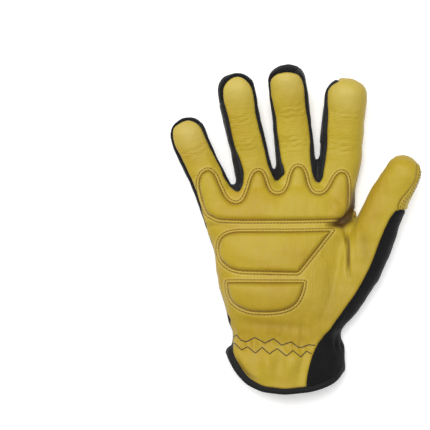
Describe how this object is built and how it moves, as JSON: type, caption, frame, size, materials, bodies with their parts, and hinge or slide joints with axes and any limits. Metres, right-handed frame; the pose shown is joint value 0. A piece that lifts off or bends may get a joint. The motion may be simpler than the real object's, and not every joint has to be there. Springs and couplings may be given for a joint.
{
  "type": "anti vibration glove",
  "caption": "Right-hand work glove with a gold leather palm, padded palm sections, leather finger patches and a black stretch back, open at the cuff.",
  "frame": {"origin": "middle of the underside, on the surface that the glove lies on", "axes": "+Y from the cuff to the fingertips, +X towards the thumb, +Z out of the palm"},
  "size_m": [0.1882, 0.2508, 0.0446],
  "materials": {
    "leather": "smooth gold-yellow grain leather, slightly satin",
    "knit": "black stretch knit with fine cross ribs, matte",
    "stretch": "smooth black stretch cloth, slight sheen",
    "binding": "black folded binding tape, matte"
  },
  "bodies": {
    "root": {"palm_leather": "leather", "index_shield": "leather", "thumb_shield": "leather", "pad_knuckle": "leather", "pad_palm": "leather", "pad_heel": "leather", "finger_pad_middle": "leather", "finger_pad_ring": "leather", "finger_pad_pinky": "leather", "back_fabric": "knit", "index_patch": "knit", "fourchette_index_middle": "stretch", "fourchette_middle_ring": "stretch", "fourchette_ring_pinky": "stretch", "cuff_binding": "binding"}
  },
  "joints": []
}
